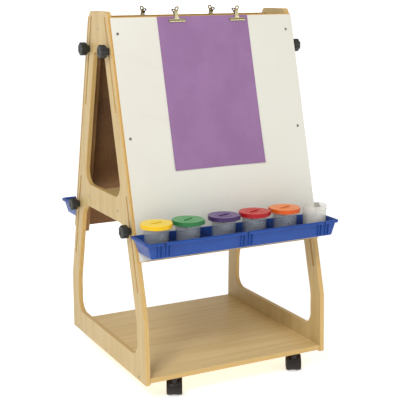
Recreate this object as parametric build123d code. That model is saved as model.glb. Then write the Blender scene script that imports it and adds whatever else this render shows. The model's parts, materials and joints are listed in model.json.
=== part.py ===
from build123d import *
import os
from math import acos, atan2, cos, degrees, hypot, radians, sin

# Two-sided painting easel on casters, in millimetres.
# X runs across the boards, the front faces -Y, Z is up, and the origin is on the floor in the middle.
# Two shaped end panels carry two shelves and a rail. A board with two cleats slides along the sloping
# edge of the panels on each side, and four hand knobs per board clamp it through slots in the panels.

BOTTOM = (Align.CENTER, Align.CENTER, Align.MIN)
SIDES = ("front", "rear")
HANDS = {"left": -1, "right": 1}

# end panels
EASEL_W = 616.0
PLY = 15.0
PANEL_Z = 58.0
BASE_HALF = 305.0
HIP_HALF = 300.0
HIP_Z = PANEL_Z + 188.0
TOP_HALF = 69.0
TOP_Z = PANEL_Z + 1064.0
LEG_W = 57.0
FACE_X = EASEL_W / 2
INNER_X = FACE_X - PLY
EDGE_ROUND = 2.0

# cut-outs of the panels
LOWER_CUT_Z = (PANEL_Z + 72.0, PANEL_Z + 453.0)
UPPER_CUT_Z = (PANEL_Z + 526.0, PANEL_Z + 945.0)
CUT_FOOT_R = 40.0
LOWER_CUT_TOP_R = 58.0
UPPER_CUT_TOP_R = 22.0

# the sloping edge, as a unit direction in Y and Z, and the frame that everything on a board is drawn in
SLOPE_LENGTH = hypot(HIP_HALF - TOP_HALF, TOP_Z - HIP_Z)
SLOPE_Y = (HIP_HALF - TOP_HALF) / SLOPE_LENGTH
SLOPE_Z = (TOP_Z - HIP_Z) / SLOPE_LENGTH
LEAN = degrees(atan2(SLOPE_Y, SLOPE_Z))
BOARD_FRAME = Plane(origin=(0, -HIP_HALF, HIP_Z), x_dir=(1, 0, 0), z_dir=(0, -SLOPE_Z, SLOPE_Y)).location

# slots for the knob bolts: along the slope, from the hip
SLOT_IN = 20.0
SLOT_W = 8.8
SLOTS = {"upper": (613.0, 895.0), "lower": (90.0, 372.0)}
KNOB_S = {"upper": 793.0, "lower": 270.0}

# shelves, rail
SHELF_HALF = 302.0
SHELF_Z = PANEL_Z + 6.0
INNER_SHELF_HALF = 170.0
INNER_SHELF_Z = PANEL_Z + 478.5
RAIL_T = 20.0
RAIL_H = 60.0
RAIL_Z = PANEL_Z + 982.0

# countersunk wood screws
SCREW_R = 2.0
SCREW_HEAD_R = 4.2
SCREW_HEAD_T = 2.4
FRAME_SCREW_L = 45.0
BOARD_SCREW_L = 26.0

# boards and cleats, in the board frame: x, s along the slope, off outwards from the panel edge
BOARD_X = (-302.0, 308.0)
BOARD_T = 6.0
BOARD_S = (177.0, 888.0)
BOARD_GAP = 0.5
BOARD_FACE = BOARD_GAP + BOARD_T
CLEAT_T = 18.0
CLEAT_D = 40.0
CLEAT_GAP = 0.4
CLEAT_X = INNER_X - CLEAT_GAP - CLEAT_T / 2
BOARD_SCREW_S = (838.0, 533.0, 228.0)

# bolts and knobs
BOLT_R = 4.0
BOLT_HEAD_R = 9.5
BOLT_HEAD_T = 4.0
BOLT_END_X = FACE_X + 21.0
KNOB_GAP = 0.4
KNOB_BOSS_R = 11.0
KNOB_BOSS_H = 9.0
KNOB_HEAD_R = 20.0
KNOB_HEAD_H = 20.0
KNOB_LOBES = 7
KNOB_LOBE_R = 6.0
KNOB_CHAMFER = 3.0
KNOB_BORE_R = BOLT_R + 0.05
KNOB_BORE_H = 22.0

# trays, in the easel's own directions
TRAY_RIM_Z = PANEL_Z + 438.0
TRAY_H = 48.0
TRAY_FRONT = 359.0
TRAY_HALF = 320.0
TRAY_LIP = 6.0
TRAY_LIP_H = 8.0
TRAY_LIP_T = 2.0
TRAY_WALL = 2.5
TRAY_TAPER_END = 12.0
TRAY_TAPER_FRONT = 7.0
TRAY_CORNER_R = 15.0
NOTCH_X = (-265.0, 0.0, 265.0)
NOTCH_W = 7.0
NOTCH_DEPTH = 10.0
RIB_X = (-18.0, -7.5, 7.5, 18.0)
RIB_W = 3.0
RIB_PROUD = 3.2
TRAY_SCREW_X = (-212.0, -106.0, 106.0, 212.0)
TRAY_SCREW_S = 234.0

# paint cups
CUP_X = {"yellow": -265.0, "green": -166.0, "purple": -50.0, "red": 53.0, "orange": 159.0, "open": 265.0}
CUP_Y = -300.0
CUP_GAP = 0.3
CUP_FOOT_R = 33.0
CUP_TOP_R = 38.0
CUP_H = 87.0
CUP_WALL = 1.8
LID_R = 46.0
LID_TOP_T = 2.5
LID_SKIRT_H = 12.5
LID_SKIRT_T = 3.0
LID_GAP = 0.3
LID_TAB_REACH = 53.0
LID_TAB_R = 6.0
LID_TURNS = {"yellow": 12.0, "green": -40.0, "purple": -38.0, "red": -24.0, "orange": 150.0}
LID_BAR_TURN = 58.0
FUNNEL_R = (17.0, 11.0)
FUNNEL_H = 24.0

# clips
CLIP_X = {"front": (-90.0, 114.0), "rear": (-130.0, 107.0)}
CLIP_JAW_W = 53.0
CLIP_JAW_S = (868.5, 878.0)
CLIP_JAW_T = 3.6
CLIP_PLATE_T = 1.2
CLIP_NECK_W = 11.0
CLIP_NECK_FOOT_W = 17.0
CLIP_NECK_S = 897.0
CLIP_LOOP_R = 7.5
CLIP_LOOP_HOLE_R = 3.6
CLIP_LOOP_TILT = 32.0
CLIP_LOOP_REACH = 13.0
PIVOT_S = 893.5
PIVOT_OFF = 4.0
PIN_R = 1.25
EAR_R = 2.4
EAR_T = 1.2

# drawing sheet
SHEET_W = 305.0
SHEET_S = (429.0, 886.0)
SHEET_X = -2.0
SHEET_T = 0.5
SHEET_GAP = 0.3

# casters
CASTER_X = 208.0
CASTER_Y = 284.0
CASTER_TURN = -26.0
TRAIL = 18.0
WHEEL_R = 25.0
WHEEL_X = (5.5, 22.5)
AXLE_R = 3.0
HOOD_R = (25.8, 27.8)
HOOD_HALF_W = 23.5
HOOD_FROM = 50.0
HOOD_TO = 218.0
WEB_HALF_T = 4.5
STEM_R = 5.5
STEM_Z = (46.5, 75.0)
COLLAR_R = 11.0
COLLAR_Z = (56.0, 62.0)
SOCKET_R = 7.5
SOCKET_H = 13.0
SOCKET_BORE_H = 11.5


def slope_half(z):
    """Half depth of the panel at height z, on its sloping edge."""
    return HIP_HALF - (z - HIP_Z) * SLOPE_Y / SLOPE_Z


def side_location(side):
    """The front is drawn, and the rear is the same turned half way round."""
    return Location() if side == "front" else Location((0, 0, 0), (0, 0, 180))


def on_board(side, part):
    return side_location(side) * BOARD_FRAME * part


def local_x(side, x):
    """A world x as the board frame of that side counts it."""
    return x if side == "front" else -x


def cylinder_x(radius, x0, x1, y=0.0, z=0.0):
    """A round bar along X from x0 to x1."""
    bar = Cylinder(radius, abs(x1 - x0), rotation=(0, 90, 0))
    return Pos((x0 + x1) / 2, y, z) * bar


def block(x0, x1, y0, y1, z0, z1):
    box = Box(x1 - x0, y1 - y0, z1 - z0)
    return Pos((x0 + x1) / 2, (y0 + y1) / 2, (z0 + z1) / 2) * box


def rounded_polygon(corners):
    """A face from (y, z, radius) corners."""
    face = make_face(Polyline(*[(y, z) for y, z, _ in corners], close=True))
    for y, z, radius in corners:
        vertex = face.vertices().sort_by_distance((y, z))[0]
        face = fillet(vertex, radius)
    return face


def mirrored(corners):
    """The corners of one half and their mirror images, in order round the outline."""
    return corners + [(-y, z, r) for y, z, r in reversed(corners)]


# ---------------------------------------------------------------- frame


def panel_face():
    leg = LEG_W / SLOPE_Z
    outline = [(BASE_HALF, PANEL_Z, 5.0), (HIP_HALF, HIP_Z, 110.0), (TOP_HALF, TOP_Z, 16.0)]
    low, high = LOWER_CUT_Z
    lower = [
        (BASE_HALF - 2.0 - LEG_W, low, CUT_FOOT_R),
        (HIP_HALF - LEG_W, HIP_Z - 8.0, 90.0),
        (slope_half(high) - leg, high, LOWER_CUT_TOP_R),
    ]
    low, high = UPPER_CUT_Z
    upper = [
        (slope_half(low) - leg, low, CUT_FOOT_R),
        (slope_half(high) - leg, high, UPPER_CUT_TOP_R),
    ]
    face = rounded_polygon(mirrored(outline))
    face -= rounded_polygon(mirrored(lower))
    return face - rounded_polygon(mirrored(upper))


def slot_solid(side, level):
    """The space of one slot, through both panels."""
    start, end = SLOTS[level]
    run = end - start - SLOT_W
    bar = Box(2 * FACE_X + 10, run, SLOT_W)
    for end_s in (-run / 2, run / 2):
        bar += Pos(0, end_s, 0) * Cylinder(SLOT_W / 2, 2 * FACE_X + 10, rotation=(0, 90, 0))
    return on_board(side, Pos(0, (start + end) / 2, -SLOT_IN) * bar)


def end_panel(hand):
    panel = extrude(Plane.YZ * panel_face(), PLY)
    flat_edges = panel.edges().group_by(Axis.X)
    panel = fillet(flat_edges[0] + flat_edges[-1], EDGE_ROUND)
    panel = Pos(INNER_X if hand > 0 else -FACE_X, 0, 0) * panel
    for side in SIDES:
        for level in SLOTS:
            panel -= slot_solid(side, level)
    for y, z in frame_screw_places():
        panel -= screw_space(hand, y, z)
    return panel


def frame_screw_places():
    """(y, z) of the screws that go through each panel into the ends of the shelves and the rail."""
    shelf = [(y, SHELF_Z + PLY / 2) for y in (-254.0, 0.0, 254.0)]
    inner = [(y, INNER_SHELF_Z + PLY / 2) for y in (-120.0, 120.0)]
    return shelf + inner + [(0.0, RAIL_Z + RAIL_H / 2)]


def screw(length):
    """A countersunk screw with its head's face at the origin, pointing down -Z."""
    head = Pos(0, 0, -SCREW_HEAD_T / 2) * Cone(SCREW_R, SCREW_HEAD_R, SCREW_HEAD_T)
    shank = Pos(0, 0, -length / 2) * Cylinder(SCREW_R, length)
    drive = Cylinder(1.3, 2.0)
    return head + shank - drive


def screw_hole(length):
    head = Pos(0, 0, -SCREW_HEAD_T / 2) * Cone(SCREW_R, SCREW_HEAD_R, SCREW_HEAD_T)
    return head + Pos(0, 0, -length / 2) * Cylinder(SCREW_R, length)


def screw_place(hand, y, z):
    return Location((hand * FACE_X, y, z), (0, 90 * hand, 0))


def screw_space(hand, y, z):
    return screw_place(hand, y, z) * screw_hole(FRAME_SCREW_L)


def frame_screws():
    places = [screw_place(hand, y, z) for hand in HANDS.values() for y, z in frame_screw_places()]
    return Compound([place * screw(FRAME_SCREW_L) for place in places])


def drilled(part):
    """A shelf or the rail with the holes of the frame screws in its ends."""
    for hand in HANDS.values():
        for y, z in frame_screw_places():
            part -= screw_space(hand, y, z)
    return part


def bottom_shelf():
    shelf = block(-INNER_X, INNER_X, -SHELF_HALF, SHELF_HALF, SHELF_Z, SHELF_Z + PLY)
    long_edges = shelf.edges().filter_by(Axis.X)
    shelf = fillet(long_edges, EDGE_ROUND)
    for x, y in caster_places().values():
        shelf -= Pos(x, y, SHELF_Z) * Cylinder(SOCKET_R, SOCKET_H, align=BOTTOM)
    return drilled(shelf)


def inner_shelf():
    half = INNER_SHELF_HALF
    shelf = block(-INNER_X, INNER_X, -half, half, INNER_SHELF_Z, INNER_SHELF_Z + PLY)
    return drilled(fillet(shelf.edges().filter_by(Axis.X), EDGE_ROUND))


def top_rail():
    rail = block(-INNER_X, INNER_X, -RAIL_T / 2, RAIL_T / 2, RAIL_Z, RAIL_Z + RAIL_H)
    return drilled(fillet(rail.edges().filter_by(Axis.X), EDGE_ROUND))


# ---------------------------------------------------------------- boards


def board_screw_places():
    return [(hand * CLEAT_X, s) for hand in HANDS.values() for s in BOARD_SCREW_S]


def drawing_board():
    board = block(*BOARD_X, *BOARD_S, BOARD_GAP, BOARD_FACE)
    board = fillet(board.edges().filter_by(Axis.Z), 3.0)
    board = chamfer(board.edges().group_by(Axis.Z)[-1], 0.6)
    for x, s in board_screw_places():
        board -= Pos(x, s, BOARD_FACE) * screw_hole(BOARD_SCREW_L)
    for x in TRAY_SCREW_X:
        board -= Pos(x, TRAY_SCREW_S, 0) * Cylinder(SCREW_R, 20)
    return board


def cleat(side, hand):
    x = local_x(side, hand * CLEAT_X)
    bar = block(x - CLEAT_T / 2, x + CLEAT_T / 2, *BOARD_S, -CLEAT_D, BOARD_GAP)
    bar = chamfer(bar.edges().filter_by(Axis.Y).group_by(Axis.Z)[0], 1.5)
    for s in KNOB_S.values():
        bar -= cylinder_x(BOLT_R, x - CLEAT_T, x + CLEAT_T, s, -SLOT_IN)
    for s in BOARD_SCREW_S:
        bar -= Pos(x, s, BOARD_FACE) * screw_hole(BOARD_SCREW_L)
    return bar


def pan_screw():
    """A short pan-head screw through the tray's back wall and the board, head at the origin."""
    length = TRAY_WALL + BOARD_T
    head = fillet((Pos(0, 0, 1.2) * Cylinder(4.5, 2.4)).edges().group_by(Axis.Z)[-1], 1.0)
    return head + Pos(0, 0, -length / 2) * Cylinder(SCREW_R, length) - Pos(0, 0, 2.4) * Cylinder(1.3, 2.0)


def board_screws():
    screws = [Pos(x, s, BOARD_FACE) * screw(BOARD_SCREW_L) for x, s in board_screw_places()]
    wall = BOARD_FACE + TRAY_WALL
    return Compound(screws + [Pos(x, TRAY_SCREW_S, wall) * pan_screw() for x in TRAY_SCREW_X])


def knob_bolt(hand, s):
    """A round-headed bolt through the cleat; the head sits on the cleat's inner side."""
    inner = CLEAT_X - CLEAT_T / 2
    head = cylinder_x(BOLT_HEAD_R, inner - BOLT_HEAD_T, inner, s, -SLOT_IN)
    head = fillet(head.edges().group_by(Axis.X)[0], 1.8)
    bolt = head + cylinder_x(BOLT_R, inner, BOLT_END_X, s, -SLOT_IN)
    bolt = chamfer(bolt.edges().group_by(Axis.X)[-1], 0.8)
    return bolt if hand > 0 else mirror(bolt, Plane.YZ)


def knob_bolts():
    return Compound([knob_bolt(hand, s) for hand in HANDS.values() for s in KNOB_S.values()])


# ---------------------------------------------------------------- trays


def tray_section(half, front, back, radius, z):
    """A rounded rectangle at height z, with its front edge at -Y."""
    rectangle = RectangleRounded(2 * half, front - back, radius)
    return Pos(0, -(front + back) / 2, z) * rectangle


def board_face_y(z):
    """How far in front of the middle the board's face is at height z."""
    return slope_half(z) + BOARD_FACE / SLOPE_Z


def tray_cup(inset, floor_z):
    """The tapered body of the tray, drawn in by inset; it is deeper at the back than the board allows."""
    half = TRAY_HALF - TRAY_LIP - inset
    front = TRAY_FRONT - TRAY_LIP - inset
    back = board_face_y(TRAY_RIM_Z) + inset
    radius = TRAY_CORNER_R - TRAY_LIP - inset / 2
    foot_z = TRAY_RIM_Z - TRAY_H
    foot_back = board_face_y(foot_z) + inset
    low = tray_section(half - TRAY_TAPER_END, front - TRAY_TAPER_FRONT, foot_back, radius, foot_z)
    body = loft([low.face(), tray_section(half, front, back, radius, TRAY_RIM_Z).face()])
    return body & block(-400, 400, -500, 0, floor_z, TRAY_RIM_Z + 1)


def tray_lip():
    """The rim, turned outwards and down, before the body fills its middle."""
    back = board_face_y(TRAY_RIM_Z)
    low_z = TRAY_RIM_Z - TRAY_LIP_H
    inset = TRAY_LIP_T
    outer = tray_section(TRAY_HALF, TRAY_FRONT, back, TRAY_CORNER_R, low_z)
    inner = tray_section(TRAY_HALF - inset, TRAY_FRONT - inset, back + inset, TRAY_CORNER_R - inset, low_z)
    lip = extrude(outer, TRAY_LIP_H)
    lip = fillet(lip.edges().group_by(Axis.Z)[-1], 1.2)
    return lip - extrude(inner, TRAY_LIP_H - TRAY_WALL)


def notch(x):
    """The round-bottomed notch that is cut through the front of the rim."""
    low_z = TRAY_RIM_Z - NOTCH_DEPTH + NOTCH_W / 2
    cut = Pos(0, 0, low_z) * Cylinder(NOTCH_W / 2, 30, rotation=(90, 0, 0))
    cut += block(-NOTCH_W / 2, NOTCH_W / 2, -15, 15, low_z, TRAY_RIM_Z + 1)
    return Pos(x, -TRAY_FRONT, 0) * cut


def tray_rib(x):
    """One upright rib on the front wall, as steep as the wall."""
    z0 = TRAY_RIM_Z - TRAY_H
    z1 = TRAY_RIM_Z - TRAY_WALL / 2
    y1 = -(TRAY_FRONT - TRAY_LIP)
    y0 = y1 + TRAY_TAPER_FRONT
    side = make_face(
        Polyline((y0 - RIB_PROUD, z0 + 4), (y1 - RIB_PROUD, z1), (y1 + 1.5, z1), (y0 + 1.5, z0 + 4), close=True)
    )
    return Pos(x - RIB_W / 2, 0, 0) * extrude(Plane.YZ * side, RIB_W)


def tray(side):
    foot_z = TRAY_RIM_Z - TRAY_H
    shell = tray_cup(0.0, foot_z) + tray_lip()
    for middle in NOTCH_X:
        for step in RIB_X:
            shell += tray_rib(middle + step)
    shell -= tray_cup(TRAY_WALL, foot_z + TRAY_WALL)
    for middle in NOTCH_X:
        shell -= notch(middle)
    shell -= BOARD_FRAME * Pos(0, 300, BOARD_FACE - 100) * Box(900, 900, 200)
    for x in TRAY_SCREW_X:
        shell -= BOARD_FRAME * Pos(x, TRAY_SCREW_S, BOARD_FACE) * Cylinder(SCREW_R, 12)
    return side_location(side) * shell


# ---------------------------------------------------------------- knobs


def knob(side, level, hand):
    lobes = Circle(KNOB_HEAD_R - KNOB_LOBE_R + 1.5)
    for i in range(KNOB_LOBES):
        angle = radians(360 * i / KNOB_LOBES)
        reach = KNOB_HEAD_R - KNOB_LOBE_R
        lobes += Pos(reach * cos(angle), reach * sin(angle)) * Circle(KNOB_LOBE_R)
    trim = Cylinder(KNOB_HEAD_R + 0.2, KNOB_HEAD_H, align=BOTTOM)
    trim = chamfer(trim.edges().group_by(Axis.Z)[-1], KNOB_CHAMFER)
    trim = chamfer(trim.edges().group_by(Axis.Z)[0], KNOB_CHAMFER / 2)
    head = extrude(lobes, KNOB_HEAD_H) & trim
    head -= Pos(0, 0, KNOB_HEAD_H) * Cylinder(7.0, 1.6)
    shape = Cylinder(KNOB_BOSS_R, KNOB_BOSS_H, align=BOTTOM) + Pos(0, 0, KNOB_BOSS_H) * head
    shape -= Cylinder(KNOB_BORE_R, KNOB_BORE_H, align=BOTTOM)
    s = KNOB_S[level]
    y = -HIP_HALF + SLOPE_Y * s + SLOPE_Z * SLOT_IN
    z = HIP_Z + SLOPE_Z * s - SLOPE_Y * SLOT_IN
    y = y if side == "front" else -y
    return Location((hand * (FACE_X + KNOB_GAP), y, z), (0, 90 * hand, 0)) * shape


# ---------------------------------------------------------------- cups


def cup_place(name):
    return Pos(CUP_X[name], CUP_Y, TRAY_RIM_Z - TRAY_H + TRAY_WALL + CUP_GAP)


def cup(name):
    outer = loft([Circle(CUP_FOOT_R).face(), (Pos(0, 0, CUP_H) * Circle(CUP_TOP_R)).face()])
    outer = fillet(outer.edges().group_by(Axis.Z)[0], 3.0)
    inner = loft(
        [
            (Pos(0, 0, CUP_WALL) * Circle(CUP_FOOT_R - CUP_WALL)).face(),
            (Pos(0, 0, CUP_H) * Circle(CUP_TOP_R - CUP_WALL)).face(),
        ]
    )
    bead = Pos(0, 0, CUP_H - 3) * Cylinder(CUP_TOP_R + 1.6, 3, align=BOTTOM)
    bead = fillet(bead.edges().group_by(Axis.Z)[-1], 1.0)
    return cup_place(name) * (outer + bead - inner)


def lid_outline():
    """The round lid with its thumb tab, whose sides are tangent to the rim, towards +X."""
    turn = acos(LID_R / LID_TAB_REACH)
    side = (LID_R * cos(turn), LID_R * sin(turn))
    tab = make_face(Polyline((0, 0), (side[0], -side[1]), (LID_TAB_REACH, 0), side, close=True))
    tab = fillet(tab.vertices().sort_by_distance((LID_TAB_REACH, 0))[0], LID_TAB_R)
    return Circle(LID_R) + tab


def lid(name):
    """A push-on lid with a skirt, a funnel that hangs into the cup and a grip bar across the top."""
    top_z = CUP_H + LID_GAP
    skirt_z = top_z + LID_TOP_T - LID_SKIRT_H
    shell = Pos(0, 0, skirt_z) * extrude(lid_outline(), LID_SKIRT_H)
    shell = fillet(shell.edges().group_by(Axis.Z)[-1], 1.4)
    shell -= Pos(0, 0, skirt_z) * Cylinder(LID_R - LID_SKIRT_T, LID_SKIRT_H - LID_TOP_T, align=BOTTOM)
    wide, narrow = FUNNEL_R
    funnel = Pos(0, 0, top_z - FUNNEL_H / 2) * Cone(narrow, wide, FUNNEL_H)
    funnel -= Pos(0, 0, top_z - FUNNEL_H / 2 - 0.5) * Cone(narrow - 2, wide - 2, FUNNEL_H)
    shell += funnel
    deck = Pos(0, 0, top_z + LID_TOP_T)
    shell += deck * extrude(RegularPolygon(24.0, 8) - RegularPolygon(21.5, 8), 1.4)
    shell += deck * Rot(0, 0, LID_BAR_TURN) * Pos(0, 0, 1.2) * Box(34.0, 5.0, 2.4)
    return cup_place(name) * Rot(0, 0, LID_TURNS[name]) * shell


# ---------------------------------------------------------------- clips


def clip_loop(off):
    """The handle above the neck: a strap that leans outwards and ends in a ring, in the board frame."""
    strap = Pos(0, CLIP_LOOP_REACH / 2) * Rectangle(CLIP_NECK_W, CLIP_LOOP_REACH)
    ring = strap + Pos(0, CLIP_LOOP_REACH) * Circle(CLIP_LOOP_R)
    ring -= Pos(0, CLIP_LOOP_REACH) * Circle(CLIP_LOOP_HOLE_R)
    plate = extrude(ring, CLIP_PLATE_T)
    return Pos(0, CLIP_NECK_S - 0.5, off) * Rot(CLIP_LOOP_TILT, 0, 0) * plate


def clip_half(grip, ear_x):
    """One half of a clip on the outer side of the board, at x = 0; grip is where its plate starts."""
    jaw_low, jaw_high = CLIP_JAW_S
    half = CLIP_JAW_W / 2
    jaw = block(-half, half, jaw_low, jaw_high, grip, grip + CLIP_JAW_T)
    jaw = fillet(jaw.edges().filter_by(Axis.X).group_by(Axis.Z)[-1], 1.4)
    neck = make_face(
        Polyline(
            (-CLIP_NECK_FOOT_W / 2, jaw_high - 1),
            (CLIP_NECK_FOOT_W / 2, jaw_high - 1),
            (CLIP_NECK_W / 2, CLIP_NECK_S - 12),
            (CLIP_NECK_W / 2, CLIP_NECK_S),
            (-CLIP_NECK_W / 2, CLIP_NECK_S),
            (-CLIP_NECK_W / 2, CLIP_NECK_S - 12),
            close=True,
        )
    )
    body = jaw + Pos(0, 0, grip) * extrude(neck, CLIP_PLATE_T) + clip_loop(grip)
    for sign in (-1, 1):
        ear = cylinder_x(EAR_R, ear_x - EAR_T, ear_x, PIVOT_S, PIVOT_OFF)
        ear += block(ear_x - EAR_T, ear_x, PIVOT_S - EAR_R, PIVOT_S + EAR_R, PIVOT_OFF, grip + CLIP_PLATE_T)
        body += ear if sign > 0 else mirror(ear, Plane.YZ)
    return body


def clip_lever(side, x):
    """The outer half: it swings open on the pin."""
    grip = BOARD_FACE + SHEET_GAP + (SHEET_T + SHEET_GAP if side == "front" else 0)
    half = clip_half(grip, 5.4)
    half -= cylinder_x(PIN_R + 0.05, -12, 12, PIVOT_S, PIVOT_OFF)
    return Pos(local_x(side, x), 0, 0) * half


def clip_back(side, x):
    """The inner half, flat on the back of the board, with the pin."""
    flip = Plane(origin=(0, 0, PIVOT_OFF), z_dir=(0, 0, 1))
    half = mirror(clip_half(2 * PIVOT_OFF - BOARD_GAP, 3.9), flip)
    half += cylinder_x(PIN_R, -6.2, 6.2, PIVOT_S, PIVOT_OFF)
    for sign in (-1, 1):
        half += cylinder_x(PIN_R + 0.9, sign * 5.8, sign * 6.8, PIVOT_S, PIVOT_OFF)
    return Pos(local_x(side, x), 0, 0) * half


def clip_spring(side, x):
    """A torsion spring round the pin: five close turns and a short leg at each end."""
    wire = 0.45
    coil_r = PIN_R + 0.25 + wire
    turns = [Pos((i - 2) * 0.8, 0, 0) * Rot(0, 90, 0) * Torus(coil_r, wire) for i in range(5)]
    spring = turns[0]
    for turn in turns[1:]:
        spring += turn
    for end, off in ((-1.6, coil_r), (1.6, -coil_r)):
        spring += Pos(end, -2.0, off) * Rot(90, 0, 0) * Cylinder(wire, 4.0)
    return Pos(local_x(side, x), PIVOT_S, PIVOT_OFF) * spring


def drawing_sheet():
    off = BOARD_FACE + SHEET_GAP
    x0 = SHEET_X - SHEET_W / 2
    return block(x0, x0 + SHEET_W, *SHEET_S, off, off + SHEET_T)


# ---------------------------------------------------------------- casters


def caster_places():
    names = {"front": -CASTER_Y, "rear": CASTER_Y}
    return {f"{side}_{hand}": (sign * CASTER_X, y) for side, y in names.items() for hand, sign in HANDS.items()}


def hood_sector():
    """The pie slice round the axle that the hood covers, in Y and Z."""
    steps = 6
    reach = 60.0
    angles = [radians(HOOD_FROM + (HOOD_TO - HOOD_FROM) * i / steps) for i in range(steps + 1)]
    points = [(0.0, 0.0)] + [(reach * cos(a), reach * sin(a)) for a in angles]
    return make_face(Polyline(*points, close=True))


def along_x(face, half):
    """A face in Y and Z made into a plate from -half to +half in X, round the axle."""
    return Pos(-half, TRAIL, WHEEL_R) * extrude(Plane.YZ * face, 2 * half)


def caster_housing():
    inner, outer = HOOD_R
    slice_ = Circle(outer) & hood_sector()
    hood = along_x(slice_ - Circle(inner), HOOD_HALF_W)
    hood = fillet(hood.edges().filter_by(GeomType.CIRCLE).sort_by_distance((-HOOD_HALF_W, TRAIL, 60))[0], 0.8)
    hood = fillet(hood.edges().filter_by(GeomType.CIRCLE).sort_by_distance((HOOD_HALF_W, TRAIL, 60))[0], 0.8)
    low, high = COLLAR_Z
    boss = Pos(0, 0, 42) * Cylinder(COLLAR_R - 2, high - 42, align=BOTTOM)
    for sign in (-1, 1):
        cavity = cylinder_x(inner, sign * WEB_HALF_T, sign * 40, TRAIL, WHEEL_R)
        boss -= cavity
    web = along_x(slice_ + Circle(8.5), WEB_HALF_T)
    housing = hood + web + boss + Pos(0, 0, low) * Cylinder(COLLAR_R, high - low, align=BOTTOM)
    housing -= Pos(0, 0, STEM_Z[0] - 0.5) * Cylinder(STEM_R + 0.05, 40, align=BOTTOM)
    return housing - cylinder_x(AXLE_R + 0.05, -30, 30, TRAIL, WHEEL_R)


def caster_wheels():
    near, far = WHEEL_X
    pair = cylinder_x(AXLE_R, -far + 2, far - 2, 0, 0)
    for sign in (-1, 1):
        wheel = cylinder_x(WHEEL_R, sign * near, sign * far)
        wheel = fillet(wheel.edges(), 2.5)
        wheel -= cylinder_x(17.0, sign * (far - 2.5), sign * (far + 1))
        wheel += cylinder_x(7.0, sign * (far - 3), sign * (far - 0.5))
        pair += wheel
    return Pos(0, TRAIL, WHEEL_R) * pair


def caster_stems():
    low, high = STEM_Z
    stem = Pos(0, 0, low) * Cylinder(STEM_R, high - low, align=BOTTOM)
    stem += Pos(0, 0, COLLAR_Z[1] + 0.4) * Cylinder(9.0, SHELF_Z - COLLAR_Z[1] - 0.4, align=BOTTOM)
    return Compound([Pos(x, y, 0) * stem for x, y in caster_places().values()])


def caster_sockets():
    """The blind steel sockets in the underside of the shelf that the stems are pushed into."""
    socket = Cylinder(SOCKET_R, SOCKET_H, align=BOTTOM) - Cylinder(STEM_R, SOCKET_BORE_H, align=BOTTOM)
    return Compound([Pos(x, y, SHELF_Z) * socket for x, y in caster_places().values()])


# ---------------------------------------------------------------- assembly


def frame_nodes():
    nodes = {f"end_panel_{name}": end_panel(hand) for name, hand in HANDS.items()}
    nodes["bottom_shelf"] = bottom_shelf()
    nodes["inner_shelf"] = inner_shelf()
    nodes["top_rail"] = top_rail()
    nodes["frame_screws"] = frame_screws()
    nodes["caster_stems"] = caster_stems()
    nodes["caster_sockets"] = caster_sockets()
    return nodes


def board_nodes(side):
    nodes = {f"{side}_board": on_board(side, drawing_board())}
    for name, hand in HANDS.items():
        nodes[f"{side}_cleat_{name}"] = on_board(side, cleat(side, hand))
    nodes[f"{side}_board_screws"] = on_board(side, board_screws())
    nodes[f"{side}_knob_bolts"] = on_board(side, knob_bolts())
    nodes[f"{side}_tray"] = tray(side)
    for level in KNOB_S:
        for name, hand in HANDS.items():
            nodes[f"knob_{side}_{level}_{name}"] = knob(side, level, hand)
    for name, x in zip(HANDS, CLIP_X[side]):
        clip = f"clip_{side}_{name}"
        nodes[f"{clip}_lever"] = on_board(side, clip_lever(side, x))
        nodes[f"{clip}_back"] = on_board(side, clip_back(side, x))
        nodes[f"{clip}_spring"] = on_board(side, clip_spring(side, x))
    return nodes


def cup_nodes():
    nodes = {f"cup_{name}": cup(name) for name in CUP_X}
    nodes.update({f"lid_{name}": lid(name) for name in LID_TURNS})
    nodes["drawing_sheet"] = on_board("front", drawing_sheet())
    return nodes


def caster_nodes():
    nodes = {}
    for name, (x, y) in caster_places().items():
        place = Location((x, y, 0), (0, 0, CASTER_TURN))
        nodes[f"caster_{name}_housing"] = place * caster_housing()
        nodes[f"caster_{name}_wheels"] = place * caster_wheels()
    return nodes


os.makedirs("parts", exist_ok=True)
all_nodes = {**frame_nodes(), **board_nodes("front"), **board_nodes("rear"), **cup_nodes(), **caster_nodes()}
for node_name, node in all_nodes.items():
    export_step(node, f"parts/{node_name}.step")
print(len(all_nodes), "nodes; the boards lean", round(LEAN, 2), "degrees")
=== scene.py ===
"""Two-sided painting easel on casters: looks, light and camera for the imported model. Metres, Z up."""

import json
import math

import bmesh
import bpy
from mathutils import Matrix, Vector


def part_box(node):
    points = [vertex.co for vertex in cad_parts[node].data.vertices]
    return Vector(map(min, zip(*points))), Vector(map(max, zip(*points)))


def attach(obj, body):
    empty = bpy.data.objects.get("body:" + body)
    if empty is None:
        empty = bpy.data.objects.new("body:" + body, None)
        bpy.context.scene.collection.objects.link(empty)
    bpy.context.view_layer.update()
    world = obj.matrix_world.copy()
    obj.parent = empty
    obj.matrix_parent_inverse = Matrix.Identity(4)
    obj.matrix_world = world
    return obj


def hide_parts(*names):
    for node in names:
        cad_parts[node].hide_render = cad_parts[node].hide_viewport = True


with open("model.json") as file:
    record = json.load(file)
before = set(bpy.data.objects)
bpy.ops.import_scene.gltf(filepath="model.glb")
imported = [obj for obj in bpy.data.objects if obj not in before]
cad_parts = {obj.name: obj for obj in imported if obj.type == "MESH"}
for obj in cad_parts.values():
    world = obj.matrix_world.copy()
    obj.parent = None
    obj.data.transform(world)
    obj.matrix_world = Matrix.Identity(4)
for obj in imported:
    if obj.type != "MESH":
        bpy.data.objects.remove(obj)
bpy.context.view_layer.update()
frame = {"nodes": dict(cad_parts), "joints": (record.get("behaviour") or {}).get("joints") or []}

MM = 0.001
TAU = 2 * math.pi
SIDES = ("front", "rear")
HANDS = {"left": -1, "right": 1}
LEVELS = ("upper", "lower")
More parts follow.
